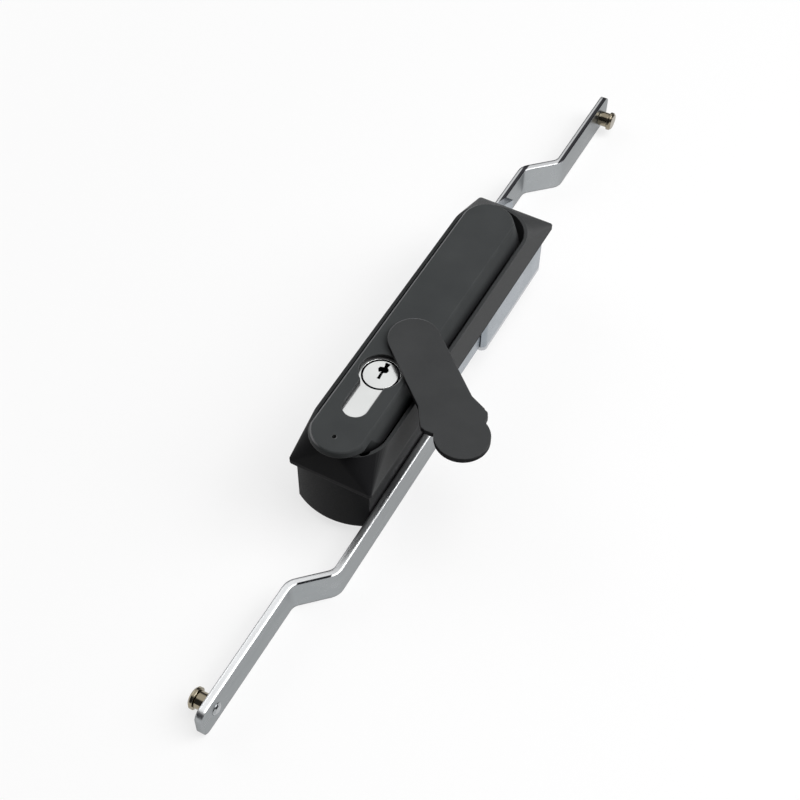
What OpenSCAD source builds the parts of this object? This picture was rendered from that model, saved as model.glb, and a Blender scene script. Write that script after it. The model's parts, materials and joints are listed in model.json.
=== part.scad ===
// Rod lock for a cabinet door: a swing handle with a profile half cylinder sits in an
// escutcheon, and a rack gearbox behind it drives two joggled flat rods in opposite directions.
// The door face is the plane z = 0, +Z points at the user and +Y runs along the rods
// towards the spindle end. Lengths are millimetres.

/* [Escutcheon] */
// Length of the flange along the rods
flange_length = 164; // [158:1:180]
// Width of the flange
flange_width = 36; // [35.5:0.5:40]
// Thickness of the flange edge
flange_thickness = 2; // [1.5:0.1:2.4]
// Radius of the flange corners
flange_corner = 1.5; // [0.8:0.1:3]
// Height of the rim above the door
rim_height = 14; // [13.5:0.1:15]
// Width across the top of the rim
rim_width = 32.4; // [32:0.1:33]
// Thickness of the rim at its top
rim_wall = 1.4; // [1:0.1:1.6]
// Run of the sloping end face at the cylinder end
near_slope = 3; // [2:0.1:4]
// Run of the sloping end face at the spindle end
far_slope = 12.4; // [10:0.1:14]
// Level of the dish floor above the door
floor_level = 2.5; // [2.4:0.1:3]
// Reach of the housing behind the door towards the lower rod
housing_right = 14.6; // [14.2:0.1:14.7]
// Reach of that housing to the other side
housing_left = 17.5; // [16:0.1:17.6]
// Bulge of the rounded end of that housing
housing_bulge = 4.5; // [3:0.1:5.5]
// Wall of that housing
housing_wall = 2.4; // [1.8:0.1:2.4]
// Height of the spigot that passes through the door sheet
spigot_height = 2.5; // [2:0.1:3]

/* [Handle] */
// Height of the handle face above the door
handle_top = 22; // [21.5:0.1:23]
// Width of the flat handle face
handle_face_width = 22.2; // [21:0.1:23]
// Gap between the foot of the handle and the rim
handle_gap = 1.1; // [0.9:0.1:1.4]
// Depth of the handle's foot below the rim
handle_sink = 1.5; // [1:0.1:2]
// Gap between the handle and the far end of the dish
far_gap = 3.8; // [2.4:0.1:4.5]
// Overhang of the lifting end past the flange
tip_overhang = 2.2; // [1:0.1:3]
// Thickness of the lifting end
tip_thickness = 3; // [2.5:0.1:3.4]
// Bulge of the rounded lifting end
tip_bulge = 8.5; // [7:0.1:10]
// Thickness of the handle's face plate
face_plate = 3.2; // [2.8:0.1:3.6]
// Thickness of the handle's side walls at the face plate
handle_wall = 2.2; // [1.8:0.1:2.6]
// Chamfer round the handle face
face_chamfer = 0.6; // [0.3:0.1:0.9]
// Number of cross ribs under the face plate
rib_count = 3; // [2:1:5]
// Distance of the spindle from the far end of the dish
spindle_setback = 20.2; // [19.5:0.1:21]
// Radius of the hinge pin
hinge_pin_r = 2; // [1.6:0.1:2.2]
// Width of the hub's tongue between the handle's ears
tongue_width = 10; // [8:0.5:11]

/* [Profile cylinder] */
// Diameter of the cylinder's round head
head_d = 17; // [16.5:0.1:17.5]
// Width of the cylinder's tail
tail_w = 10; // [9.5:0.1:10.5]
// Distance from the head's centre to the tail's round end centre
tail_reach = 19.5; // [18.5:0.1:20]
// Length of the cylinder body
cylinder_length = 40; // [38:0.5:41]
// Depth of the cylinder's face below the handle face
cylinder_recess = 2; // [1.5:0.1:2.5]
// Distance of the head's centre from the handle's lifting end
cylinder_setback = 42.8; // [42:0.1:44]
// Diameter of the key plug
plug_d = 13.6; // [12.6:0.1:14]
// Reach of the cylinder's cam from the plug axis
key_cam_reach = 14; // [13.4:0.1:14]

/* [Dust cover] */
// Width of the cover along its straight sides
cover_width = 20.6; // [20:0.1:22]
// Distance between the centres of the cover's round ends
cover_reach = 50; // [49:0.1:52]
// Radius of the cover's round tip
cover_tip_r = 10.6; // [10.3:0.1:11]
// Width across the finger shoulders
shoulder_width = 25.6; // [24.6:0.1:27]
// Length of the flare up to the shoulders
flare_length = 9; // [7:0.5:14]
// Thickness of the cover
cover_thickness = 2.4; // [2:0.1:3.2]
// Distance of the pivot from the lifting end of the handle
cover_setback = 65.5; // [65:0.1:67]
// Offset of the pivot behind the centre of the round end
pivot_offset = 5.9; // [5:0.1:6.5]
// Angle by which the cover stands open
cover_angle = 48.7; // [30:0.1:60]

/* [Gearbox] */
// Length of the gearbox
box_length = 57; // [56:0.5:60]
// Width of the gearbox
box_width = 33; // [32.6:0.1:33.4]
// Depth of the gearbox body without its cover
box_depth = 16; // [15:0.5:18]
// Wall of the gearbox
box_wall = 2; // [1.7:0.1:2.1]
// Thickness of the gearbox cover
box_cover = 2; // [1.5:0.1:2.5]
// Module of the pinion and rack teeth
tooth_module = 1.25; // [1.25:0.01:1.27]
// Side of the square spindle
spindle_side = 8; // [7:0.5:8]
// Reach of the centre cam from the spindle
centre_cam_reach = 29; // [26:0.5:30]

/* [Rods] */
// Thickness of the flat rods
rod_thickness = 3; // [2.5:0.1:3.5]
// Width of the flat rods
rod_width = 15; // [13:0.5:16]
// Level of the rods' upper edge behind the door
rod_level = 17.5; // [17:0.1:19]
// Sideways offset of the joggle
joggle_offset = 13; // [11:0.1:14]
// Angle of the joggle
joggle_angle = 46; // [40:1:60]
// Bend radius on the middle of the bar
bend_radius = 6; // [4.5:0.5:8]
// Distance from the spindle to the lower rod's end
lower_reach = 229; // [220:0.2:300]
// Distance from the spindle to the middle of the lower rod's joggle
lower_joggle = 160.8; // [158:0.2:180]
// Distance from the spindle to the upper rod's end
upper_reach = 148.4; // [140:0.2:260]
// Distance from the spindle to the middle of the upper rod's joggle
upper_joggle = 86.4; // [80:0.2:100]
// Distance of the roller pin from the rod's end
pin_inset = 9; // [7:0.5:12]
// Diameter of the end rollers
roller_d = 7; // [5.4:0.1:8]
// Length of the end rollers
roller_length = 4.4; // [3:0.1:8]
// Radius of the corners at the rods' ends
rod_corner = 4; // [1:0.1:5]

/* [Hidden] */
$fn = 64;

black = [0.12, 0.12, 0.13];
zinc = [0.72, 0.73, 0.74];
steel = [0.80, 0.81, 0.83];
nickel = [0.86, 0.84, 0.78];

// Clearances: a seat between still pieces, a running fit, and a free gap between moving pieces
seat_gap = 0.05;
run_gap = 0.08;
free_gap = 0.3;
cut_over = 1;

// Dish and handle
recess_half = rim_width / 2 - rim_wall;
recess_near = -flange_length / 2 + near_slope + rim_wall;
recess_far = flange_length / 2 - far_slope - rim_wall;
spindle_y = recess_far - spindle_setback;
handle_foot = rim_height - handle_sink;
foot_half = recess_half - handle_gap;
face_half = handle_face_width / 2;
handle_tip = -flange_length / 2 - tip_overhang;
handle_far = recess_far - far_gap;
pivot_y = handle_tip + cover_setback;
tip_draft = 0.3;
pin_hole_setback = 7.3;
pin_hole_r = 0.9;
pin_hole_depth = 4;
pin_level = handle_foot + hinge_pin_r + 0.5;
ear_r = hinge_pin_r + 3;
tongue_r = hinge_pin_r + 2.6;
slot_top = pin_level + tongue_r + free_gap;
hub_disc_r = 9.5;
hub_shank_r = 7.9;
hub_disc_top = floor_level + 3.4;
spindle_top = floor_level + 1.5;
circlip_thickness = 1;
cavity_half = face_half - handle_wall + 0.8;
cavity_far = spindle_y - hub_disc_r - 3.5;
rib_start = pivot_y + 8;
rib_pitch = (cavity_far - rib_start) / (rib_count + 1);
rib_thickness = 1.8;

// Profile cylinder
head_y = handle_tip + cylinder_setback;
head_r = head_d / 2;
tail_r = tail_w / 2;
cylinder_face = handle_top - cylinder_recess;
cylinder_back = cylinder_face - cylinder_length;
cam_setback = 5;
key_cam_t = 10;
key_cam_low = cylinder_back + cam_setback;
key_cam_high = key_cam_low + key_cam_t;
key_cam_mid = (key_cam_low + key_cam_high) / 2;
key_cam_w = 9;
window_gap = 0.8;
plug_r = plug_d / 2;
plug_tail_r = 5;
ring_gap = 0.8;
ring_depth = 2.5;
keyway_shift = 0.7;
keyway_floor = 3;
sleeve_wall = 2.2;
sleeve_low = key_cam_high + 1;
sleeve_end = head_y - tail_reach - tail_r - seat_gap - sleeve_wall;
screw_r = 2.5;
screw_head_r = 4;
screw_head_t = 2.5;
screw_bite = 7;
pocket_half = housing_right - housing_wall;
plug_end = cylinder_back - 1.9;
// Room under the plug's end
pocket_room = 2.9;
pocket_floor = plug_end - pocket_room;
housing_half = (housing_right + housing_left) / 2;
cam_sweep = sqrt(pow(key_cam_reach, 2) - pow(pocket_half, 2));
swing_reach = norm([spindle_y - sleeve_end + screw_head_t, pin_level - key_cam_mid + screw_head_r]);
pocket_near = spindle_y - swing_reach - 0.8;
pocket_far = head_y + head_r + sleeve_wall + 2;
housing_near = -flange_length / 2 + 0.5;
housing_far = pocket_far + housing_wall;

// Dust cover
cover_low = handle_top + 0.25;
pivot_r = 3;
shoulder_r = 2.2;
// Distance of each finger shoulder from the centre of the round tip, left then right
shoulder_setbacks = [9.2, 6.8];
neck_drop = 4.4;
plate_low = handle_top - face_plate;
washer_t = 0.8;
clip_t = 1;

// Gearbox, measured from the spindle
box_top = -spigot_height;
box_back = box_top - box_depth;
cover_back = box_back - box_cover;
inner_half = box_width / 2 - box_wall;
inner_length = box_length - 2 * box_wall;
tooth_count = 16;
pitch_r = tooth_module * tooth_count / 2;
tooth_pitch = PI * tooth_module;
pressure_angle = 20;
backlash = 0.3;
gear_addendum = 0.9 * tooth_module;
gear_dedendum = 1.15 * tooth_module;
rack_addendum = 0.8 * tooth_module;
rack_dedendum = 1.25 * tooth_module;
gear_top = box_top - box_wall - free_gap;
gear_back = box_back + free_gap;
gear_hub_r = 6;
rack_back = inner_half - free_gap;
rack_root = pitch_r + rack_dedendum;
rack_near = inner_length / 2 - free_gap;
rack_far = 6.5;
slide_travel = pitch_r * PI / 2;
fixing_reach = inner_length / 2 - 4.5;
cover_fixing = [6, inner_length / 2 - 2.3];
post_r = 3.6;
long_screw_r = 2;
long_head = [3.6, 2.4];
small_screw_r = 1.25;
small_head = [2.3, 1.6];
small_screw_bite = 7;
cam_level = cover_back - 4.5;
centre_cam_t = 3;
centre_cam_w = 18;
cam_screw_length = 11;

// Rods and sliders, measured from the spindle on the lower side
rod_inner = housing_right + 0.6;
rod_outer_leg = rod_inner - joggle_offset;
rod_top = -rod_level;
rod_low = rod_top - rod_width;
rod_mid = (rod_top + rod_low) / 2;
lower_pad_length = 18;
upper_pad_length = 13;
lower_pad = [spindle_y - housing_far - lower_pad_length - 0.5, lower_pad_length];
upper_pad = [box_length / 2 + slide_travel + 1.2, upper_pad_length];
lower_tongue = [gear_back + 9.6, gear_back];
upper_tongue = [gear_back + 7.2, gear_back];
rivet_r = 1.8;
rivet_head_r = 2.9;
pin_shank_r = 1.7;
pin_head_r = roller_d / 2 + 0.9;
pin_head_t = 2;
pin_head_edge = 0.8;

// Rectangle with true round corners, centred on the origin
module rounded_rect(size, corner) {
    square([size.x - 2 * corner, size.y], center = true);
    square([size.x, size.y - 2 * corner], center = true);
    for (sx = [-1, 1], sy = [-1, 1])
        translate([sx * (size.x / 2 - corner), sy * (size.y / 2 - corner)])
            circle(corner);
}

// Outline with straight sides and round ends between two y positions
module stadium(half, near, far) {
    translate([0, near + half])
        circle(half);
    translate([0, far - half])
        circle(half);
    translate([-half, near + half])
        square([2 * half, far - near - 2 * half]);
}

// Radius of an arc from its half chord and its bulge
function arc_radius(half, bulge) = (half * half + bulge * bulge) / (2 * bulge);

// Outline of a straight-sided block with one arched end, which starts at near
module arched_block(half, near, far, bulge) {
    radius = arc_radius(half, bulge);
    intersection() {
        translate([0, near + radius])
            circle(radius, $fn = 128);
        translate([-half, near])
            square([2 * half, radius]);
    }
    translate([-half, near + bulge])
        square([2 * half, far - near - bulge]);
}

// Outline of the handle: flat arch at the lifting end, half round at the spindle end
module handle_outline(half, tip, far) {
    arched_block(half, tip, far - half, tip_bulge);
    translate([0, far - half])
        circle(half);
}

// Outline of the profile cylinder, grown by a margin
module cylinder_profile(margin) {
    translate([0, head_y])
        circle(head_r + margin);
    translate([0, head_y - tail_reach])
        circle(tail_r + margin);
    translate([-tail_r - margin, head_y - tail_reach])
        square([2 * (tail_r + margin), tail_reach]);
}

// Solid between two levels
module slab(low, high) {
    translate([0, 0, low])
        linear_extrude(high - low)
            children();
}

// Places its children at the spindle, turned half a turn for the upper side
module at_spindle(upper = false) {
    translate([0, spindle_y, 0])
        rotate(upper ? 180 : 0)
            children();
}

// Cylinder along X between two x positions
module bar_x(radius, from, to) {
    translate([min(from, to), 0, 0])
        rotate([0, 90, 0])
            cylinder(r = radius, h = abs(to - from));
}

module escutcheon() {
    color(black)
    difference() {
        union() {
            slab(0, flange_thickness)
                rounded_rect([flange_width, flange_length], flange_corner);
            // Sloping sides: from the rectangle of the flange to the round-ended rim
            hull() {
                slab(flange_thickness - 0.5, flange_thickness)
                    rounded_rect([flange_width, flange_length], flange_corner);
                slab(rim_height - 0.2, rim_height)
                    stadium(rim_width / 2, recess_near - rim_wall, recess_far + rim_wall);
            }
            slab(pocket_floor - housing_wall, flange_thickness)
                translate([housing_right - housing_half, 0])
                    arched_block(housing_half, housing_near, housing_far, housing_bulge);
            translate([0, spindle_y, 0])
                slab(-spigot_height, flange_thickness)
                    rounded_rect([2 * inner_half - 4, box_length - 6], 4);
        }
        difference() {
            slab(floor_level, rim_height + cut_over)
                stadium(recess_half, recess_near, recess_far);
            // Screw boss in the dish for the gearbox fixing nearer the cylinder
            translate([0, spindle_y - fixing_reach, 0])
                cylinder(r = post_r, h = floor_level + 5);
        }
        // Pocket for the cylinder when the handle is down
        translate([0, (pocket_near + pocket_far) / 2, 0])
            slab(pocket_floor, rim_height)
                rounded_rect([2 * pocket_half, pocket_far - pocket_near], 3);
        // Window that the key cam turns into
        translate([-housing_left - cut_over, head_y - cam_sweep - window_gap, key_cam_low - window_gap])
            cube([housing_left, cam_sweep + key_cam_w / 2 + 2 * window_gap,
                  key_cam_high - key_cam_low + 2 * window_gap]);
        translate([0, spindle_y, 0]) {
            translate([0, 0, -spigot_height - cut_over])
                cylinder(r = hub_shank_r + run_gap, h = spigot_height + floor_level + 2 * cut_over);
            // Recess for the hub's circlip
            translate([0, 0, -spigot_height - cut_over])
                cylinder(r = hub_shank_r + 2.4, h = cut_over + spigot_height);
        }
        for (side = [-1, 1])
            translate([0, spindle_y + side * fixing_reach, -spigot_height - cut_over])
                cylinder(r = long_screw_r + seat_gap, h = spigot_height + cut_over + floor_level + 2);
    }
}

module handle_hub() {
    color(zinc)
    translate([0, spindle_y, 0])
    difference() {
        union() {
            translate([0, 0, floor_level])
                cylinder(r = hub_disc_r, h = hub_disc_top - floor_level);
            translate([0, 0, -spigot_height + 0.2])
                cylinder(r = hub_shank_r, h = floor_level + spigot_height);
            translate([-tongue_width / 2, -tongue_r, hub_disc_top - 1])
                cube([tongue_width, 2 * tongue_r, pin_level - hub_disc_top + 1]);
            translate([0, 0, pin_level])
                bar_x(tongue_r, -tongue_width / 2, tongue_width / 2);
        }
        translate([0, 0, pin_level])
            bar_x(hinge_pin_r + run_gap, -tongue_width, tongue_width);
        // Socket that the square spindle turns in
        translate([0, 0, -spigot_height - cut_over])
            cylinder(r = spindle_side / sqrt(2) + free_gap, h = spindle_top + 0.5 + spigot_height + cut_over);
        // Groove for the circlip
        translate([0, 0, -circlip_thickness - 0.1])
            difference() {
                cylinder(r = hub_shank_r + cut_over, h = circlip_thickness + 0.1);
                cylinder(r = hub_shank_r - 0.9, h = circlip_thickness + 0.1);
            }
    }
}

module hub_circlip() {
    color(steel)
    translate([0, spindle_y, -circlip_thickness - 0.05])
    linear_extrude(circlip_thickness)
    difference() {
        circle(hub_shank_r + 2);
        circle(hub_shank_r - 0.9 + seat_gap);
        // Opening of the clip
        translate([-1.5, 0])
            square([3, 2 * hub_shank_r]);
    }
}

module gearbox_body() {
    color(zinc)
    translate([0, spindle_y, 0])
    difference() {
        slab(box_back, box_top)
            rounded_rect([box_width, box_length], 2.5);
        difference() {
            slab(box_back - cut_over, box_top - box_wall)
                rounded_rect([2 * inner_half, inner_length], 1);
            for (side = [-1, 1]) {
                translate([0, side * fixing_reach, box_back])
                    cylinder(r = post_r, h = box_depth);
                for (sx = [-1, 1])
                    translate([sx * cover_fixing.x, side * cover_fixing.y, box_back])
                        cylinder(r = small_screw_r + 1.1, h = box_depth);
            }
        }
        translate([0, 0, box_top - 2 * box_wall])
            cylinder(r = gear_hub_r + run_gap, h = 3 * box_wall);
        // Slots that the slider tongues leave by
        for (turn = [0, 180])
            rotate(turn)
                translate([rack_root - free_gap, -box_length / 2 - cut_over, box_back - cut_over])
                    cube([inner_half - rack_root + free_gap, box_wall + 2 * cut_over,
                          box_depth + cut_over - box_wall]);
        for (side = [-1, 1]) {
            translate([0, side * fixing_reach, box_back - cut_over])
                cylinder(r = long_screw_r + seat_gap, h = box_depth + 2 * cut_over);
            for (sx = [-1, 1])
                translate([sx * cover_fixing.x, side * cover_fixing.y, box_back - cut_over])
                    cylinder(r = small_screw_r + seat_gap, h = small_screw_bite + 2 * cut_over);
        }
    }
}

module gearbox_cover() {
    color(steel)
    translate([0, spindle_y, 0])
    difference() {
        slab(cover_back, box_back)
            rounded_rect([box_width, box_length], 2.5);
        translate([0, 0, cover_back - cut_over])
            cylinder(r = gear_hub_r + run_gap, h = box_cover + 2 * cut_over);
        for (side = [-1, 1]) {
            translate([0, side * fixing_reach, cover_back - cut_over])
                cylinder(r = long_screw_r + seat_gap, h = box_cover + 2 * cut_over);
            for (sx = [-1, 1])
                translate([sx * cover_fixing.x, side * cover_fixing.y, cover_back - cut_over])
                    cylinder(r = small_screw_r + seat_gap, h = box_cover + 2 * cut_over);
        }
    }
}

// Cross-recessed pan head screw that points up, its head's seat at z = 0
module pan_screw(shank_r, length, head_r, head_t) {
    cylinder(r = shank_r, h = length);
    difference() {
        translate([0, 0, -head_t])
            cylinder(r1 = head_r * 0.75, r2 = head_r, h = head_t);
        for (turn = [0, 90])
            rotate(turn)
                translate([-head_r * 0.55, -head_r * 0.1, -head_t - cut_over])
                    cube([head_r * 1.1, head_r * 0.2, cut_over + head_t * 0.5]);
    }
}

module gearbox_screws() {
    color(steel)
    for (side = [-1, 1])
        translate([0, spindle_y + side * fixing_reach, cover_back])
            pan_screw(long_screw_r, -cover_back + floor_level + 1, long_head[0], long_head[1]);
}

module cover_screws() {
    color(steel)
    for (side = [-1, 1], sx = [-1, 1])
        translate([sx * cover_fixing.x, spindle_y + side * cover_fixing.y, cover_back])
            pan_screw(small_screw_r, box_cover + small_screw_bite, small_head[0], small_head[1]);
}

module handle() {
    color(black)
    difference() {
        union() {
            difference() {
                hull() {
                    slab(handle_foot, handle_foot + 0.2)
                        handle_outline(foot_half, handle_tip, handle_far);
                    for (inset = [0, face_chamfer])
                        slab(handle_top - face_chamfer + inset - 0.2, handle_top - face_chamfer + inset)
                            handle_outline(face_half - inset, handle_tip + tip_draft + inset,
                                           handle_far - foot_half + face_half - inset);
                }
                // Hollow underside with cross ribs
                difference() {
                    slab(handle_foot - cut_over, plate_low)
                        translate([-cavity_half, recess_near + 6])
                            square([2 * cavity_half, cavity_far - recess_near - 6]);
                    for (i = [1 : rib_count])
                        translate([-cavity_half, rib_start + i * rib_pitch, handle_foot])
                            cube([2 * cavity_half, rib_thickness, plate_low - handle_foot]);
                }
                // Step round the foot that lets the lifting end pass over the rim
                slab(handle_foot - cut_over, handle_top - tip_thickness)
                    difference() {
                        translate([-foot_half - cut_over, handle_tip - cut_over])
                            square([2 * (foot_half + cut_over), recess_near - handle_tip + recess_half]);
                        stadium(foot_half, recess_near + handle_gap, recess_far);
                    }
            }
            // Sleeve that carries the cylinder
            slab(sleeve_low, plate_low + 0.5)
                cylinder_profile(seat_gap + sleeve_wall);
            // Lug for the cylinder's fixing screw
            translate([-tail_r, sleeve_end, key_cam_mid - screw_head_r])
                cube([2 * tail_r, sleeve_wall, plate_low - key_cam_mid + screw_head_r]);
            // Hinge ears
            translate([0, spindle_y, pin_level])
                for (side = [-1, 1])
                    bar_x(ear_r, side * (tongue_width / 2 + free_gap), side * (face_half + 0.4));
        }
        slab(key_cam_low - cut_over, handle_top + cut_over)
            cylinder_profile(seat_gap);
        translate([0, sleeve_end - cut_over, key_cam_mid])
            rotate([-90, 0, 0])
                cylinder(r = screw_r + seat_gap, h = sleeve_wall + 2 * cut_over);
        // Slot for the hub's tongue
        translate([-tongue_width / 2 - free_gap, spindle_y - tongue_r - 1.5, handle_foot - ear_r])
            cube([tongue_width + 2 * free_gap, 2 * tongue_r + 7, slot_top - handle_foot + ear_r]);
        translate([0, spindle_y, pin_level])
            bar_x(hinge_pin_r + seat_gap, -foot_half - cut_over, face_half + 0.2);
        // Pivot hole of the dust cover
        translate([0, pivot_y, plate_low - cut_over])
            cylinder(r = pivot_r + run_gap, h = face_plate + 2 * cut_over);
        // Pin hole near the lifting end
        translate([0, handle_tip + pin_hole_setback, handle_top - pin_hole_depth])
            cylinder(r = pin_hole_r, h = pin_hole_depth + cut_over);
    }
}

module hinge_pin() {
    color(steel)
    translate([0, spindle_y, pin_level])
        bar_x(hinge_pin_r, -face_half - 1, face_half);
}

module cylinder_body() {
    color(nickel)
    difference() {
        slab(cylinder_back, cylinder_face)
            cylinder_profile(0);
        // Gap for the cam
        translate([0, head_y, key_cam_low - 0.25])
            cylinder(r = key_cam_reach + 0.5, h = key_cam_high - key_cam_low + 0.5);
        translate([0, head_y, key_cam_high])
            cylinder(r = plug_r + run_gap, h = cylinder_face - key_cam_high + cut_over);
        // Ring groove round the plug
        translate([0, head_y, cylinder_face - ring_depth])
            cylinder(r = plug_r + ring_gap, h = ring_depth + cut_over);
        translate([0, head_y, cylinder_back - cut_over])
            cylinder(r = plug_tail_r + run_gap, h = cylinder_length / 2);
        // Thread hole of the fixing screw
        translate([0, head_y - tail_reach - tail_r - cut_over, key_cam_mid])
            rotate([-90, 0, 0])
                cylinder(r = screw_r + seat_gap, h = screw_bite + 2 * cut_over);
    }
}

module cylinder_screw() {
    color(steel)
    translate([0, sleeve_end, key_cam_mid])
        rotate([-90, 0, 0])
            pan_screw(screw_r, sleeve_wall + screw_bite, screw_head_r, screw_head_t);
}

// Flare from a straight side of the dust cover out to a finger shoulder and back to the neck
module cover_shoulder(side, setback) {
    half = cover_width / 2;
    shoulder = shoulder_width / 2;
    shoulder_y = cover_reach - setback;
    neck_y = shoulder_y + neck_drop;
    translate([side * (shoulder - shoulder_r), -shoulder_y])
        circle(shoulder_r);
    polygon([
        [0, -shoulder_y + flare_length],
        [side * half, -shoulder_y + flare_length],
        [side * (shoulder - shoulder_r * 0.15), -shoulder_y + shoulder_r * 0.9],
        [side * (shoulder - shoulder_r * 0.25), -shoulder_y - shoulder_r * 0.85],
        [side * half * 0.96, -neck_y],
        [0, -neck_y]
    ]);
}

// Outline of the dust cover about its pivot, pointing along -Y when closed
module cover_outline() {
    half = cover_width / 2;
    straight = cover_reach - max(shoulder_setbacks);
    translate([0, -pivot_offset]) {
        circle(half);
        translate([0, -cover_reach])
            circle(cover_tip_r);
        translate([-half, -straight])
            square([2 * half, straight]);
        for (i = [0, 1])
            cover_shoulder(2 * i - 1, shoulder_setbacks[i]);
    }
}

module dust_cover() {
    color(black)
    translate([0, pivot_y, 0])
    rotate(cover_angle) {
        slab(cover_low, cover_low + cover_thickness)
            cover_outline();
        // Pivot stud with a groove for its clip
        difference() {
            translate([0, 0, plate_low - washer_t - clip_t - 1])
                cylinder(r = pivot_r, h = cover_low - plate_low + washer_t + clip_t + 2);
            translate([0, 0, plate_low - washer_t - clip_t - 0.1])
                difference() {
                    cylinder(r = pivot_r + cut_over, h = clip_t + 0.1);
                    cylinder(r = pivot_r - 0.6, h = clip_t + 0.1);
                }
        }
    }
}

module cover_washer() {
    color(steel)
    translate([0, pivot_y, plate_low - washer_t])
    difference() {
        cylinder(r = pivot_r + 2.5, h = washer_t - 0.05);
        translate([0, 0, -cut_over])
            cylinder(r = pivot_r + run_gap, h = washer_t + 2 * cut_over);
    }
}

module cover_clip() {
    color(steel)
    translate([0, pivot_y, plate_low - washer_t - clip_t])
    linear_extrude(clip_t - 0.1)
    difference() {
        circle(pivot_r + 1.8);
        circle(pivot_r - 0.6 + seat_gap);
        translate([-1, 0])
            square([2, 2 * pivot_r]);
    }
}

module cylinder_plug() {
    color(nickel)
    translate([0, head_y, 0])
    difference() {
        union() {
            translate([0, 0, key_cam_high])
                cylinder(r = plug_r, h = cylinder_face - key_cam_high);
            translate([0, 0, plug_end])
                cylinder(r = plug_tail_r, h = key_cam_high - plug_end + 0.1);
        }
        // Keyway with its warding steps
        translate([0, keyway_shift, key_cam_high + keyway_floor])
            linear_extrude(cylinder_face - key_cam_high)
                polygon([
                    [-1.1, 5.5], [1.1, 5.5], [0.75, 3.7], [2.0, 2.4], [1.7, 1.0], [0.4, 0.4], [0.75, -2.9],
                    [-0.5, -3.0], [-0.6, 0.8], [-1.3, 0.1], [-2.4, 1.6], [-2.1, 2.7], [-0.5, 3.2]
                ]);
        // Groove for the retaining clip
        translate([0, 0, cylinder_back - 1.2])
            difference() {
                cylinder(r = plug_tail_r + cut_over, h = 1);
                cylinder(r = plug_tail_r - 0.8, h = 1);
            }
    }
}

module key_cam() {
    color(steel)
    translate([0, head_y, 0])
    difference() {
        intersection() {
            slab(key_cam_low, key_cam_high - 0.05)
                union() {
                    circle(head_r - 0.2);
                    translate([-key_cam_w / 2, -key_cam_reach])
                        square([key_cam_w, key_cam_reach]);
                }
            translate([0, 0, key_cam_low - cut_over])
                cylinder(r = key_cam_reach, h = key_cam_high - key_cam_low + 2 * cut_over);
        }
        translate([0, 0, key_cam_low - cut_over])
            cylinder(r = plug_tail_r + seat_gap, h = key_cam_high - key_cam_low + 2 * cut_over);
    }
}

module plug_clip() {
    color(steel)
    translate([0, head_y, cylinder_back - 1.15])
    linear_extrude(0.9)
    difference() {
        circle(plug_tail_r + 1.6);
        circle(plug_tail_r - 0.8 + seat_gap);
        translate([-1.6, 0])
            square([3.2, 2 * plug_tail_r]);
    }
}

// Point of an involute at a radius, its flank crossing the pitch circle at the given angle
function involute_angle(radius, base) =
    radius > base ? sqrt(pow(radius / base, 2) - 1) * 180 / PI - acos(base / radius) : 0;

function flank_point(radius, base, half_angle, centre, side) =
    let (angle = centre + side * (half_angle + involute_angle(pitch_r, base) - involute_angle(radius, base)))
    [radius * cos(angle), radius * sin(angle)];

// Spur gear outline with a tooth on the +X axis
module gear_outline() {
    base = pitch_r * cos(pressure_angle);
    root = pitch_r - gear_dedendum;
    tip = pitch_r + gear_addendum;
    half_angle = 90 / tooth_count - backlash / 4 / pitch_r * 180 / PI;
    steps = 5;
    radii = concat([root], [for (i = [0 : steps]) base + (tip - base) * i / steps]);
    polygon([
        for (t = [0 : tooth_count - 1])
            let (centre = t * 360 / tooth_count)
            for (side = [-1, 1], i = [0 : steps + 1])
                flank_point(radii[side < 0 ? i : steps + 1 - i], base, half_angle, centre, side)
    ]);
}

module drive_pinion() {
    color(zinc)
    at_spindle()
    difference() {
        union() {
            slab(gear_back, gear_top)
                gear_outline();
            translate([0, 0, cam_level + seat_gap])
                cylinder(r = gear_hub_r, h = box_top - 0.3 - cam_level - seat_gap);
        }
        slab(cam_level - cut_over, 0)
            square(spindle_side + 2 * seat_gap, center = true);
    }
}

module spindle() {
    color(steel)
    at_spindle()
    difference() {
        slab(cam_level - centre_cam_t + 0.2, spindle_top)
            square(spindle_side, center = true);
        translate([0, 0, cam_level - centre_cam_t - cut_over])
            cylinder(r = screw_r + seat_gap, h = cam_screw_length + 2 * cut_over);
    }
}

module centre_cam() {
    color(steel)
    at_spindle()
    difference() {
        slab(cam_level - centre_cam_t, cam_level)
            union() {
                circle(centre_cam_w / 2);
                translate([-centre_cam_reach + 4, -centre_cam_w / 2])
                    square([centre_cam_reach - 4, centre_cam_w]);
                translate([-centre_cam_reach + 4, 0])
                    intersection() {
                        circle(centre_cam_w / 2);
                        square([8, centre_cam_w], center = true);
                    }
            }
        slab(cam_level - centre_cam_t - cut_over, cam_level + cut_over)
            square(spindle_side + 2 * seat_gap, center = true);
    }
}

module cam_washer() {
    color(steel)
    at_spindle()
    translate([0, 0, cam_level - centre_cam_t - 1.2])
    difference() {
        cylinder(r = spindle_side * 0.9, h = 1.2);
        translate([0, 0, -cut_over])
            cylinder(r = screw_r + seat_gap, h = 1.2 + 2 * cut_over);
    }
}

module cam_screw() {
    color(steel)
    at_spindle()
    translate([0, 0, cam_level - centre_cam_t - 1.2])
        pan_screw(screw_r, cam_screw_length, 1.1 * screw_head_r, screw_head_t);
}

// Rack tooth that points to -X, centred on its local y = 0
module rack_tooth() {
    slope = tan(pressure_angle);
    half = tooth_pitch / 4 - backlash / 4;
    polygon([
        [rack_root + 0.1, -half - rack_dedendum * slope],
        [pitch_r - rack_addendum, -half + rack_addendum * slope],
        [pitch_r - rack_addendum, half - rack_addendum * slope],
        [rack_root + 0.1, half + rack_dedendum * slope]
    ]);
}

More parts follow.
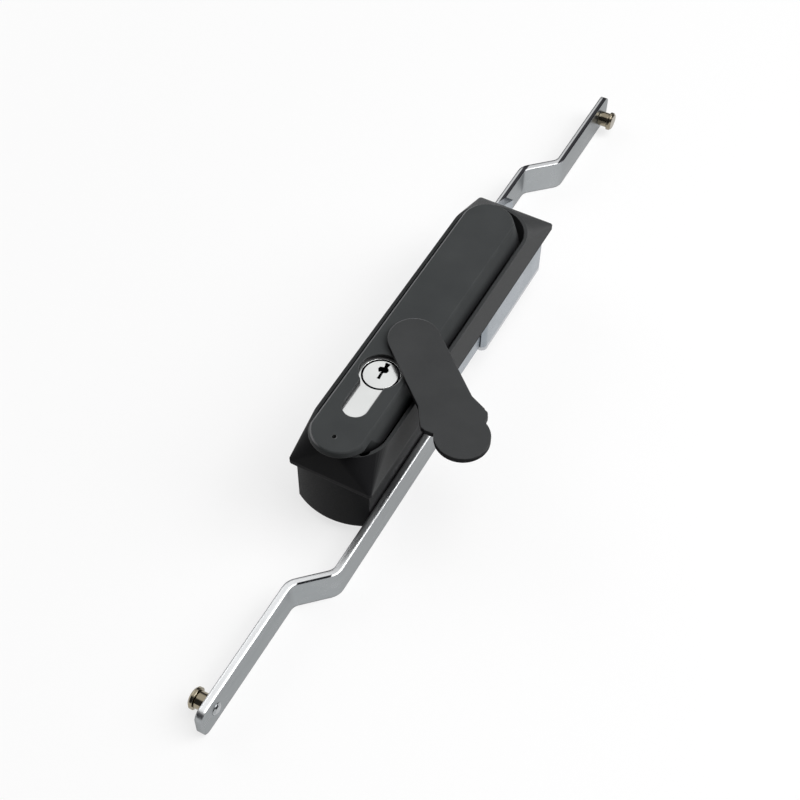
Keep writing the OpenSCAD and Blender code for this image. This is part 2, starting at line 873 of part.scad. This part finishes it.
// Slider: toothed bar in the gearbox, tongue through its end wall and a pad for the rod.
// pad holds the pad's distance from the spindle and its length, tongue its high and low level.
module slider(pad, tongue) {
    first_tooth = ceil((-rack_near + tooth_pitch / 2) / tooth_pitch - 0.5) + 1;
    last_tooth = floor((rack_far - tooth_pitch / 2) / tooth_pitch - 0.5);
    lap = 0.5;
    difference() {
        union() {
            slab(gear_back, gear_top) {
                translate([rack_root, -rack_near])
                    square([rack_back - rack_root, rack_near + rack_far]);
                for (k = [first_tooth : last_tooth])
                    translate([0, (k + 0.5) * tooth_pitch])
                        rack_tooth();
            }
            translate([rack_root, -pad[0] - lap, tongue[1]])
                cube([rack_back - rack_root, pad[0] + lap, tongue[0] - tongue[1]]);
            // Pad with a sloping shoulder down to the rod's upper edge
            translate([rack_root, 0, 0])
                rotate([90, 0, 90])
                    linear_extrude(rod_inner - rack_root)
                        polygon([
                            [-pad[0], tongue[0]],
                            [-pad[0], rod_low],
                            [-pad[0] - pad[1], rod_low],
                            [-pad[0] - pad[1], rod_top]
                        ]);
        }
        for (place = rivet_places(pad))
            translate([0, place, rod_mid])
                bar_x(rivet_r + seat_gap, 0, rod_inner + cut_over);
    }
}

// Positions of the rivets along a pad
function rivet_places(pad) = [for (share = [0.27, 0.73]) -pad[0] - share * pad[1]];

// Middle line of a rod: straight leg, joggle towards the axis, straight leg
module rod_outline(start, joggle, reach) {
    middle = rod_inner + rod_thickness / 2;
    outer_r = bend_radius + rod_thickness / 2;
    inner_r = bend_radius - rod_thickness / 2;
    ramp = (joggle_offset - 2 * bend_radius * (1 - cos(joggle_angle))) / sin(joggle_angle);
    run = 2 * bend_radius * sin(joggle_angle) + ramp * cos(joggle_angle);
    first_bend = -joggle + run / 2;
    last_bend = -joggle - run / 2;
    // Small overlap that joins the straight stretches to the bends
    lap = 0.02;
    translate([rod_inner, first_bend - lap])
        square([rod_thickness, -start - first_bend + lap]);
    translate([rod_inner - joggle_offset, -reach])
        square([rod_thickness, reach + last_bend + lap]);
    translate([middle - bend_radius, first_bend])
        arc_band(inner_r, outer_r, -joggle_angle, 0);
    translate([middle - joggle_offset + bend_radius, last_bend])
        arc_band(inner_r, outer_r, 180 - joggle_angle, 180);
    translate([middle - joggle_offset / 2, -joggle])
        rotate(-joggle_angle)
            square([rod_thickness, ramp + 2 * lap], center = true);
}

// Part of a ring between two angles less than half a turn apart
module arc_band(inner, outer, from, to) {
    far = 2 * outer;
    middle = (from + to) / 2;
    intersection() {
        difference() {
            circle(outer);
            circle(inner);
        }
        polygon([
            [0, 0],
            far * [cos(from), sin(from)],
            far * [cos(middle), sin(middle)] * 1.3,
            far * [cos(to), sin(to)]
        ]);
    }
}

module rod(pad, joggle, reach) {
    difference() {
        intersection() {
            slab(rod_low, rod_top)
                rod_outline(pad[0], joggle, reach);
            // Side outline with round corners at both ends
            translate([-2 * rod_inner, -(reach + pad[0]) / 2, rod_mid])
                rotate([90, 0, 90])
                    linear_extrude(4 * rod_inner)
                        rounded_rect([reach - pad[0], rod_width], rod_corner);
        }
        for (place = rivet_places(pad))
            translate([0, place, rod_mid])
                bar_x(rivet_r + seat_gap, rod_inner - cut_over, rod_inner + rod_thickness + cut_over);
        translate([0, -reach + pin_inset, rod_mid])
            bar_x(pin_shank_r + seat_gap, rod_outer_leg - cut_over, rod_outer_leg + rod_thickness + cut_over);
    }
}

// Rivet with a domed head on the rod and a flat head on the pad
module rivets(pad) {
    for (place = rivet_places(pad))
        translate([0, place, rod_mid]) {
            bar_x(rivet_r, rack_root - 1, rod_inner + rod_thickness + 0.5);
            bar_x(rivet_head_r, rack_root - 1, rack_root);
            translate([rod_inner + rod_thickness, 0, 0])
                rotate([0, 90, 0])
                    cylinder(r1 = rivet_head_r, r2 = rivet_head_r * 0.55, h = 1.4);
        }
}

// Pin that carries an end roller: rivet head on one face, chamfered head at the free end
module roller_pin(reach) {
    free_end = rod_outer_leg - free_gap - roller_length - free_gap;
    translate([0, -reach + pin_inset, rod_mid]) {
        bar_x(pin_shank_r, free_end, rod_outer_leg + rod_thickness + 0.4);
        bar_x(pin_head_r, free_end - pin_head_t + pin_head_edge, free_end);
        translate([free_end - pin_head_t, 0, 0])
            rotate([0, 90, 0])
                cylinder(r1 = pin_head_r - pin_head_edge, r2 = pin_head_r, h = pin_head_edge);
        translate([rod_outer_leg + rod_thickness, 0, 0])
            rotate([0, 90, 0])
                cylinder(r1 = pin_shank_r + 1, r2 = pin_shank_r, h = 0.8);
    }
}

module roller(reach) {
    translate([0, -reach + pin_inset, rod_mid])
    difference() {
        bar_x(roller_d / 2, rod_outer_leg - free_gap - roller_length, rod_outer_leg - free_gap);
        bar_x(pin_shank_r + run_gap, rod_outer_leg - 2 * roller_length, rod_outer_leg + roller_length);
    }
}

module lower_slider() { color(zinc) at_spindle() slider(lower_pad, lower_tongue); }
module lower_rod() { color(steel) at_spindle() rod(lower_pad, lower_joggle, lower_reach); }
module lower_rivets() { color(steel) at_spindle() rivets(lower_pad); }
module lower_pin() { color(nickel) at_spindle() roller_pin(lower_reach); }
module lower_roller() { color(nickel) at_spindle() roller(lower_reach); }
module upper_slider() { color(zinc) at_spindle(true) slider(upper_pad, upper_tongue); }
module upper_rod() { color(steel) at_spindle(true) rod(upper_pad, upper_joggle, upper_reach); }
module upper_rivets() { color(steel) at_spindle(true) rivets(upper_pad); }
module upper_pin() { color(nickel) at_spindle(true) roller_pin(upper_reach); }
module upper_roller() { color(nickel) at_spindle(true) roller(upper_reach); }

escutcheon();
handle_hub();
hub_circlip();
gearbox_body();
gearbox_cover();
gearbox_screws();
cover_screws();
handle();
hinge_pin();
cylinder_body();
cylinder_screw();
dust_cover();
cover_washer();
cover_clip();
cylinder_plug();
key_cam();
plug_clip();
drive_pinion();
spindle();
centre_cam();
cam_washer();
cam_screw();
lower_slider();
lower_rod();
lower_rivets();
lower_pin();
lower_roller();
upper_slider();
upper_rod();
upper_rivets();
upper_pin();
upper_roller();
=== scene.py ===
"""Looks of the rod lock: materials, softened edges, floor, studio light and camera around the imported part."""
import json
from math import cos, radians, sin

import bpy
from mathutils import Matrix, Vector


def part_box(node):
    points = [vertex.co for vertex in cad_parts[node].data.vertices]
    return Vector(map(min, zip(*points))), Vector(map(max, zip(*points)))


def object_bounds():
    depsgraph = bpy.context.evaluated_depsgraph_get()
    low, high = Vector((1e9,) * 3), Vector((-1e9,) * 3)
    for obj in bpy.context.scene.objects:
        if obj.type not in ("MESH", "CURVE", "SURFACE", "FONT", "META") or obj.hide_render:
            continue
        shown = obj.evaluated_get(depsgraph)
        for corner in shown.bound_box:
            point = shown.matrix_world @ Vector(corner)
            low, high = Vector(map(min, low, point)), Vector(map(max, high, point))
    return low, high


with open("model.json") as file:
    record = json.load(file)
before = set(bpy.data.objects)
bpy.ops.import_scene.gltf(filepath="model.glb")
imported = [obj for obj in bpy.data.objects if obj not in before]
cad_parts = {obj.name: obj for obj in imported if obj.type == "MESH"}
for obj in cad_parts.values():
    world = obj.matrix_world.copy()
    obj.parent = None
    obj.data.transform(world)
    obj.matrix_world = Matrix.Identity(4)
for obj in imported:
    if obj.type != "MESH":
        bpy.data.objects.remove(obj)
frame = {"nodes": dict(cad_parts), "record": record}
nodes = frame["nodes"]
cad_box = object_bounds()
scene = bpy.context.scene
MM = 0.001
EDGE_SAMPLES = 10


class Shading:
    """Node tree of a material or of the world. Each method adds a step to it and returns its output."""

    def __init__(self, tree):
        self.nodes = tree.nodes
        self.links = tree.links

    def node(self, kind, **settings):
        """New node with its settings, such as its operation."""
        node = self.nodes.new("ShaderNode" + kind)
        for setting, value in settings.items():
            setattr(node, setting, value)
        return node

    def feed(self, entry, value):
        """Links an output to an input, or sets the input to a number, vector or colour."""
        if isinstance(value, bpy.types.NodeSocket):
            self.links.new(value, entry)
        else:
            entry.default_value = value

    def coords(self, kind="Object"):
        """Place on the piece, or direction of its surface if the kind is Normal."""
        return self.node("TexCoord").outputs[kind]

    def split(self, vector):
        """X, Y and Z of a vector."""
        node = self.node("SeparateXYZ")
        self.feed(node.inputs["Vector"], vector)
        return node.outputs

    def math(self, operation, first, second=0.0):
        """Math on two numbers or outputs."""
        node = self.node("Math", operation=operation)
        self.feed(node.inputs[0], first)
        self.feed(node.inputs[1], second)
        return node.outputs["Value"]

    def vector_math(self, operation, first, second=(0, 0, 0)):
        """Math on two vectors or outputs; a dot product and a length are numbers."""
        node = self.node("VectorMath", operation=operation)
        self.feed(node.inputs[0], first)
        self.feed(node.inputs[1], second)
        return node.outputs["Value" if operation in ("DOT_PRODUCT", "LENGTH") else "Vector"]

    def step(self, value, low, high, result_low=0.0, result_high=1.0):
        """Value that goes from 0 at low to 1 at high, or between two other results."""
        node = self.node("MapRange")
        node.inputs["From Min"].default_value = low
        node.inputs["From Max"].default_value = high
        node.inputs["To Min"].default_value = result_low
        node.inputs["To Max"].default_value = result_high
        self.feed(node.inputs["Value"], value)
        return node.outputs["Result"]

    def spread(self, noise, low, high):
        """Range over which a noise varies; most of its values lie between 0.3 and 0.7."""
        return self.step(noise, 0.3, 0.7, low, high)

    def noise(self, coords, scale, detail, stretch=(1, 1, 1)):
        """Noise on coordinates that are scaled by a factor per axis first."""
        texture = self.node("TexNoise")
        texture.inputs["Scale"].default_value = scale
        texture.inputs["Detail"].default_value = detail
        self.feed(texture.inputs["Vector"], self.vector_math("MULTIPLY", coords, stretch))
        return texture.outputs["Fac"]

    def ramp(self, value, stops):
        """Colour ramp over a value; stops are (position, colour) pairs."""
        node = self.node("ValToRGB")
        elements = node.color_ramp.elements
        for place, _ in stops[2:]:
            elements.new(place)
        for element, (place, colour) in zip(elements, stops):
            element.position = place
            element.color = (*colour, 1)
        self.feed(node.inputs["Fac"], value)
        return node.outputs["Color"]

    def paint(self, below, colour, mask):
        """Colour laid over another where the mask is 1."""
        node = self.node("Mix", data_type="RGBA")
        self.feed(node.inputs["Factor"], mask)
        self.feed(node.inputs[6], below)
        self.feed(node.inputs[7], (*colour, 1))
        return node.outputs[2]

    def rounded_normal(self, radius):
        """Direction of the surface with its edges rounded."""
        node = self.node("Bevel", samples=EDGE_SAMPLES)
        node.inputs["Radius"].default_value = radius
        return node.outputs["Normal"]

    def seen_directly(self):
        """1 for rays from the camera and for reflections and refractions, 0 for diffuse light."""
        path = self.node("LightPath").outputs
        mirrored = self.math("MAXIMUM", path["Is Glossy Ray"], path["Is Transmission Ray"])
        return self.math("MAXIMUM", path["Is Camera Ray"], mirrored)


def new_material(name):
    """New material with its node tree and its Principled shader."""
    mat = bpy.data.materials.new(name)
    mat.use_nodes = True
    tree = Shading(mat.node_tree)
    return mat, tree, tree.nodes["Principled BSDF"]


def surface(name, dark, light, metallic, rough, grain, depth, edge, edge_wear_and_highlight,
            specular=0.5, patch=60, stretch=(1, 1, 1), rim=1.0):
    """Material with patchy colour, varied roughness, a fine bump and edges with spots of wear that also lay a
    painted highlight on them. dark and light are the colours, patch the scale of the patches per metre, rough
    the range of roughness, grain the scale of the bump per metre and depth its height, edge the radius of the
    rounded edges, edge_wear_and_highlight the colour of their spots of wear, which is partly a painted
    highlight, and rim the brightness of a metal seen edge-on. Lengths are in metres."""
    mat, tree, shader = new_material(name)
    coords = tree.coords()
    cloud = tree.noise(coords, patch, 4, stretch)
    fine = tree.noise(coords, grain, 2, stretch)
    rounded = tree.rounded_normal(edge)
    face = tree.node("NewGeometry").outputs["Normal"]
    at_edge = tree.step(tree.vector_math("DOT_PRODUCT", rounded, face), 0.97, 0.80)
    rubbed_and_highlit = tree.math("MULTIPLY", at_edge, tree.spread(cloud, 0.2, 1))
    tone = tree.ramp(cloud, [(0.3, dark), (0.7, light)])
    bump = tree.node("Bump")
    bump.inputs["Strength"].default_value = 0.6
    bump.inputs["Distance"].default_value = depth
    tree.feed(bump.inputs["Height"], fine)
    tree.feed(bump.inputs["Normal"], rounded)
    # Spots of wear along the edges, which also serve as a painted highlight on them
    tree.feed(shader.inputs["Base Color"], tree.paint(tone, edge_wear_and_highlight, rubbed_and_highlit))
    tree.feed(shader.inputs["Roughness"], tree.spread(fine, *rough))
    tree.feed(shader.inputs["Metallic"], metallic)
    tree.feed(shader.inputs["Specular IOR Level"], specular)
    tree.feed(shader.inputs["Specular Tint"], (rim, rim, rim, 1))
    tree.feed(shader.inputs["Normal"], bump.outputs["Normal"])
    return mat


finishes = {
    "black_coat": dict(
        dark=(0.042, 0.044, 0.045), light=(0.050, 0.052, 0.053), metallic=0, rough=(0.46, 0.60),
        grain=2600, depth=0.06 * MM, edge=0.35 * MM, edge_wear_and_highlight=(0.085, 0.085, 0.085), specular=0.07,
    ),
    "black_handle": dict(
        dark=(0.043, 0.046, 0.047), light=(0.051, 0.054, 0.055), metallic=0, rough=(0.46, 0.60),
        grain=2600, depth=0.06 * MM, edge=0.70 * MM, edge_wear_and_highlight=(0.10, 0.10, 0.10), specular=0.07,
    ),
    "black_cover": dict(
        dark=(0.044, 0.0455, 0.0465), light=(0.052, 0.0535, 0.0545), metallic=0, rough=(0.50, 0.64),
        grain=2200, depth=0.07 * MM, edge=0.80 * MM, edge_wear_and_highlight=(0.105, 0.105, 0.107), specular=0.06,
    ),
    "zinc_cast": dict(
        dark=(0.29, 0.32, 0.35), light=(0.37, 0.40, 0.435), metallic=1, rough=(0.26, 0.38),
        grain=900, depth=0.05 * MM, edge=0.4 * MM, edge_wear_and_highlight=(0.70, 0.72, 0.74),
    ),
    "rod_chrome": dict(
        dark=(0.355, 0.375, 0.385), light=(0.405, 0.42, 0.43), metallic=1, rough=(0.26, 0.36),
        grain=500, depth=0.02 * MM, edge=1.3 * MM, edge_wear_and_highlight=(0.36, 0.37, 0.38),
        patch=40, stretch=(1, 0.12, 1), rim=0.65,
    ),
    "nickel_plate": dict(
        dark=(0.72, 0.73, 0.725), light=(0.79, 0.80, 0.795), metallic=0.9, rough=(0.13, 0.21),
        grain=1400, depth=0.004 * MM, edge=0.15 * MM, edge_wear_and_highlight=(0.86, 0.86, 0.85),
    ),
    "pin_nickel": dict(
        dark=(0.22, 0.19, 0.14), light=(0.33, 0.29, 0.215), metallic=1, rough=(0.08, 0.18),
        grain=900, depth=0.02 * MM, edge=0.35 * MM, edge_wear_and_highlight=(0.70, 0.63, 0.49),
    ),
    "plain_steel": dict(
        dark=(0.46, 0.47, 0.49), light=(0.54, 0.55, 0.57), metallic=1, rough=(0.22, 0.36),
        grain=1100, depth=0.03 * MM, edge=0.25 * MM, edge_wear_and_highlight=(0.70, 0.71, 0.72),
    ),
}
materials = {name: surface(name, **finish) for name, finish in finishes.items()}


# Masks: each one is a function that builds a mask, from 0 to 1, in a node tree

def along(axis, start, end):
    """From 0 at one place on an axis of the part to 1 at another."""
    return lambda tree: tree.step(tree.split(tree.coords())[axis], start, end)


def facing(axis, start, end):
    """From 0 to 1 as the faces turn towards or away from an axis of the part."""
    return lambda tree: tree.step(tree.split(tree.coords("Normal"))[axis], start, end)


def joined(operation, masks):
    """Masks put together, two at a time, by an operation."""
    def mask(tree):
        value = masks[0](tree)
        for other in masks[1:]:
            value = tree.math(operation, value, other(tree))
        return value
    return mask


def all_of(*masks):
    """1 where all of the masks are 1."""
    return joined("MULTIPLY", masks)


def any_of(*masks):
    """1 where any of the masks is 1."""
    return joined("MAXIMUM", masks)


def upper_edge(radius, direction, start):
    """1 on the upper edges, rounded to a radius, that lean towards a level direction of the piece."""
    def mask(tree):
        own = tree.node("VectorTransform", vector_type="NORMAL", convert_from="WORLD", convert_to="OBJECT")
        tree.feed(own.inputs["Vector"], tree.rounded_normal(radius))
        lean = own.outputs["Vector"]
        outwards = tree.step(tree.vector_math("DOT_PRODUCT", lean, direction), start, 0.40)
        upwards = tree.step(tree.split(lean)["Z"], 0.45, 0.65)
        return tree.math("MULTIPLY", outwards, upwards)
    return mask


def overlay(name, colour, mask):
    """Paints a colour over a material's base colour where the mask is 1."""
    tree = Shading(materials[name].node_tree)
    entry = tree.nodes["Principled BSDF"].inputs["Base Color"]
    tree.feed(entry, tree.paint(entry.links[0].from_socket, colour, mask(tree)))


# The sides of the handle darken downwards with painted shade, and so do the walls of its opening round the
# cylinder
handle_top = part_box("handle")[1].z
cylinder_low, cylinder_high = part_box("cylinder_body")
opening_middle = (cylinder_low + cylinder_high) / 2
opening_half = (cylinder_high - cylinder_low) / 2 + Vector((0.5, 0.5, 0)) * MM


def opening_walls(tree):
    """1 on the walls of the handle's opening, from just under its face downwards."""
    place = tree.split(tree.coords())
    mask = tree.math("LESS_THAN", place["Z"], handle_top - 0.5 * MM)
    for axis, middle, half in zip("XY", opening_middle, opening_half):
        away = tree.math("ABSOLUTE", tree.math("SUBTRACT", place[axis], middle))
        mask = tree.math("MULTIPLY", mask, tree.math("LESS_THAN", away, half))
    return mask


# Painted shade on the lower sides of the handle
overlay("black_handle", (0.015, 0.015, 0.016), along("Z", handle_top - 4.5 * MM, handle_top - 8.5 * MM))
# Painted shade on the walls of the handle's opening round the cylinder
overlay("black_handle", (0.010, 0.010, 0.011), opening_walls)

# The handle's long edge on the -X side carries a painted highlight, and so does the cover's round end, which
# looks back along the cover from its tip. Just under its top face the cover carries painted shade
cover_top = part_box("dust_cover")[1].z
cover_back = (-0.845, 0.534, 0)
# Painted highlight along the handle's -X edge
overlay("black_handle", (0.22, 0.22, 0.225), upper_edge(0.7 * MM, (-1, 0, 0), 0.12))
# Painted shade on the cover's sides just under its top face
overlay("black_cover", (0.012, 0.012, 0.013), along("Z", cover_top - 0.2 * MM, cover_top - 1.0 * MM))
# Painted highlight on the cover's round end
overlay("black_cover", (0.17, 0.17, 0.175), upper_edge(0.8 * MM, cover_back, 0.15))

# The escutcheon carries a painted highlight on its long slopes, and painted shade behind the door and at both
# ends
near_end, far_end = (corner.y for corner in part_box("escutcheon"))


def long_slopes(tree):
    """1 on the faces that look outwards across the part, away from its middle plane."""
    place, direction = (tree.split(tree.coords(kind))["X"] for kind in ("Object", "Normal"))
    return tree.step(tree.math("MULTIPLY", place, direction), 4 * MM, 9 * MM)


far_slope = all_of(facing("Y", 0.25, 0.50), along("Y", far_end - 20 * MM, far_end - 15 * MM))
near_slope = all_of(facing("Y", -0.10, -0.40), along("Y", near_end + 35 * MM, near_end + 28 * MM))
# Painted highlight on the long slopes
overlay("black_coat", (0.068, 0.069, 0.070), long_slopes)
# Painted shade behind the door and on the slopes at both ends
overlay("black_coat", (0.018, 0.018, 0.019), along("Z", 2.0 * MM, 0.5 * MM))
overlay("black_coat", (0.032, 0.033, 0.034), far_slope)
overlay("black_coat", (0.012, 0.012, 0.013), near_slope)

# The gap round the key plug and the keyway carry painted shade, a little below the face of the cylinder
plug_low, plug_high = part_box("cylinder_plug")
plug_centre = (plug_low + plug_high) / 2
ring_r = (plug_high.x - plug_low.x) / 2 + 0.82 * MM


def plug_gap_shade(tree):
    """1 below the face of the cylinder within the ring gap."""
    place = tree.coords()
    from_axis = tree.vector_math("MULTIPLY", tree.vector_math("SUBTRACT", place, plug_centre), (1, 1, 0))
    within = tree.math("LESS_THAN", tree.vector_math("LENGTH", from_axis), ring_r)
    below = tree.math("LESS_THAN", tree.split(place)["Z"], plug_high.z - 0.25 * MM)
    return tree.math("MULTIPLY", within, below)


# Painted shade in the ring gap and the keyway
overlay("nickel_plate", (0.02, 0.02, 0.022), plug_gap_shade)

# The narrow edges of the flat rods face up and down and are brighter than their broad faces, a painted
# reflection. The half of the upper rod's edge next to its +X face is dark on both sides of the joggle, a
# painted reflection, and a thin painted shadow line runs along the face of the lower rod's joggle
rod_thickness = 3 * MM
upper_low, upper_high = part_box("upper_rod")
lower_low, lower_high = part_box("lower_rod")
joggle_angle = radians(46)
joggle_out = Vector((cos(joggle_angle), -sin(joggle_angle), 0))
joggle_middle = Vector(((lower_low.x + lower_high.x) / 2, -112.8 * MM, 0))
joggle_face = joggle_out.dot(joggle_middle) + rod_thickness / 2


def joggle_strip(tree):
    """1 within a short way of the plane of the lower rod's joggle face."""
    outwards = tree.vector_math("DOT_PRODUCT", tree.coords(), joggle_out)
    return tree.step(outwards, joggle_face - 0.95 * MM, joggle_face - 0.80 * MM)


narrow_edges = any_of(facing("Z", 0.6, 0.9), facing("Z", -0.6, -0.9))
outer_leg = along("X", upper_high.x - 1.9 * MM, upper_high.x - 1.6 * MM)
inner_leg = all_of(
    along("X", upper_low.x + 1.1 * MM, upper_low.x + 1.4 * MM),
    along("X", upper_low.x + rod_thickness + 0.3 * MM, upper_low.x + rod_thickness),
)
on_upper_rod = along("Y", upper_low.y - 2 * MM, upper_low.y - 1 * MM)
joggle_length = all_of(
    along("X", lower_low.x + 4.0 * MM, lower_low.x + 4.3 * MM),
    along("X", lower_high.x - 2.0 * MM, lower_high.x - 2.3 * MM),
)
# Painted reflection that brightens the narrow edges of the rods
overlay("rod_chrome", (0.70, 0.71, 0.72), narrow_edges)
# Painted dark reflection on half of the upper rod's narrow edges
overlay("rod_chrome", (0.05, 0.05, 0.055), all_of(narrow_edges, any_of(outer_leg, inner_leg), on_upper_rod))
# Painted shadow line along the face of the lower rod's joggle
overlay("rod_chrome", (0.012, 0.012, 0.014), all_of(narrow_edges, joggle_strip, joggle_length))

# The riveted ends of the roller pins are plated like the rods that they sit in
rivet_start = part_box("lower_pin")[1].x - 0.9 * MM


def rivet_ends(tree):
    """1 on the ends of the roller pins that stand out of the rods."""
    away = tree.math("ABSOLUTE", tree.split(tree.coords())["X"])
    return tree.math("GREATER_THAN", away, rivet_start)


overlay("pin_nickel", (0.37, 0.385, 0.395), rivet_ends)

# The handle shares its slot with the escutcheon but has a material of its own: a slightly different finish that
# carries the handle's painted shade and painted highlight
slot_of = {part["node"]: part["material_slot"] for part in frame["record"]["subparts"]}
slot_of["handle"] = "black_handle"
for name, obj in nodes.items():
    obj.data.materials.clear()
    obj.data.materials.append(materials[slot_of[name]])

# Floor just under the lowest point of the part. Where it is seen, a share of it is white: near the part the
# rest is its lit colour, which keeps the shadow, and further out it is all white
white_near_part = 0.72
white_from, white_to = 0.15, 0.70
floor_mat, tree, floor_shader = new_material("pale_floor")
floor_place = tree.coords()
floor_seen = tree.seen_directly()
floor_tone = tree.ramp(tree.noise(floor_place, 3, 2), [(0.3, (0.17, 0.17, 0.17)), (0.7, (0.19, 0.19, 0.19))])
tree.feed(floor_shader.inputs["Base Color"], tree.paint(floor_tone, (0.92, 0.92, 0.92), floor_seen))
tree.feed(floor_shader.inputs["Roughness"], 0.9)
tree.feed(floor_shader.inputs["Specular IOR Level"], 0.1)
distance = tree.vector_math("LENGTH", floor_place)
white_share = tree.step(distance, white_from, white_to, white_near_part, 1.0)
white = tree.node("Emission")
tree.feed(white.inputs["Strength"], 1.0)
blend = tree.node("MixShader")
tree.feed(blend.inputs["Fac"], tree.math("MULTIPLY", floor_seen, white_share))
tree.feed(blend.inputs[1], floor_shader.outputs["BSDF"])
tree.feed(blend.inputs[2], white.outputs["Emission"])
tree.feed(tree.nodes["Material Output"].inputs["Surface"], blend.outputs["Shader"])
bpy.ops.mesh.primitive_plane_add(size=30, location=(0, 0, cad_box[0].z - 0.5 * MM))
floor = bpy.context.object
floor.name = "floor"
floor.data.materials.append(floor_mat)

# World: bright overhead, dark near the horizon, behind the camera and at the back on the right, as in a
# studio with dark walls, and white where the camera sees it
world = bpy.data.worlds.new("studio")
scene.world = world
world.use_nodes = True
tree = Shading(world.node_tree)
direction = tree.split(tree.coords("Generated"))
sky = tree.ramp(direction["Z"], [
    (0.0, (0.08, 0.08, 0.09)), (0.40, (0.10, 0.10, 0.11)), (0.62, (0.95, 0.95, 0.95)), (0.8, (1, 1, 1)),
])
behind_camera = tree.step(direction["Y"], -0.20, -0.42)
at_back = tree.step(direction["Y"], 0.48, 0.60)
on_right = tree.step(direction["X"], 0.0, 0.12)
walls = tree.math("MAXIMUM", behind_camera, tree.math("MULTIPLY", at_back, on_right))
studio = tree.paint(sky, (0.05, 0.05, 0.055), walls)
seen_by_camera = tree.node("LightPath").outputs["Is Camera Ray"]
background = tree.nodes["Background"]
tree.feed(background.inputs["Color"], tree.paint(studio, (1, 1, 1), seen_by_camera))
tree.feed(background.inputs["Strength"], tree.step(tree.seen_directly(), 0, 1, 0.4, 1.0))


def softbox(name, place, size, power):
    """Square area lamp aimed at the middle of the part."""
    lamp = bpy.data.lights.new(name, "AREA")
    lamp.size = size
    lamp.energy = power
    obj = bpy.data.objects.new(name, lamp)
    scene.collection.objects.link(obj)
    obj.location = place
    obj.rotation_mode = "QUATERNION"
    obj.rotation_quaternion = (-Vector(place)).to_track_quat("-Z", "Y")


softbox("key", (0.95, 0.40, 0.85), 0.9, 9)
softbox("fill", (-1.0, 0.1, 0.75), 0.8, 3)
softbox("top", (0.45, 0.05, 1.15), 0.9, 9)

# Camera fitted to the photograph: its place, its right and forward directions in the part's frame and its
# focal length in pixels
image_width = 800
focal_length = 1418.36
camera_place = Vector((0.16728, -0.34189, 0.44034))
right = Vector((0.879524, 0.475792, 0.007727))
forward = Vector((-0.289309, 0.547553, -0.785166))
up = right.cross(forward)
camera_data = bpy.data.cameras.new("camera")
camera_data.sensor_width = 36
camera_data.lens = camera_data.sensor_width * focal_length / image_width
camera_data.clip_start = 0.01
camera_data.clip_end = 50
camera = bpy.data.objects.new("camera", camera_data)
camera.matrix_world = Matrix((
    (right.x, up.x, -forward.x, camera_place.x),
    (right.y, up.y, -forward.y, camera_place.y),
    (right.z, up.z, -forward.z, camera_place.z),
    (0, 0, 0, 1),
))
scene.collection.objects.link(camera)
scene.camera = camera

scene.view_settings.view_transform = "Standard"
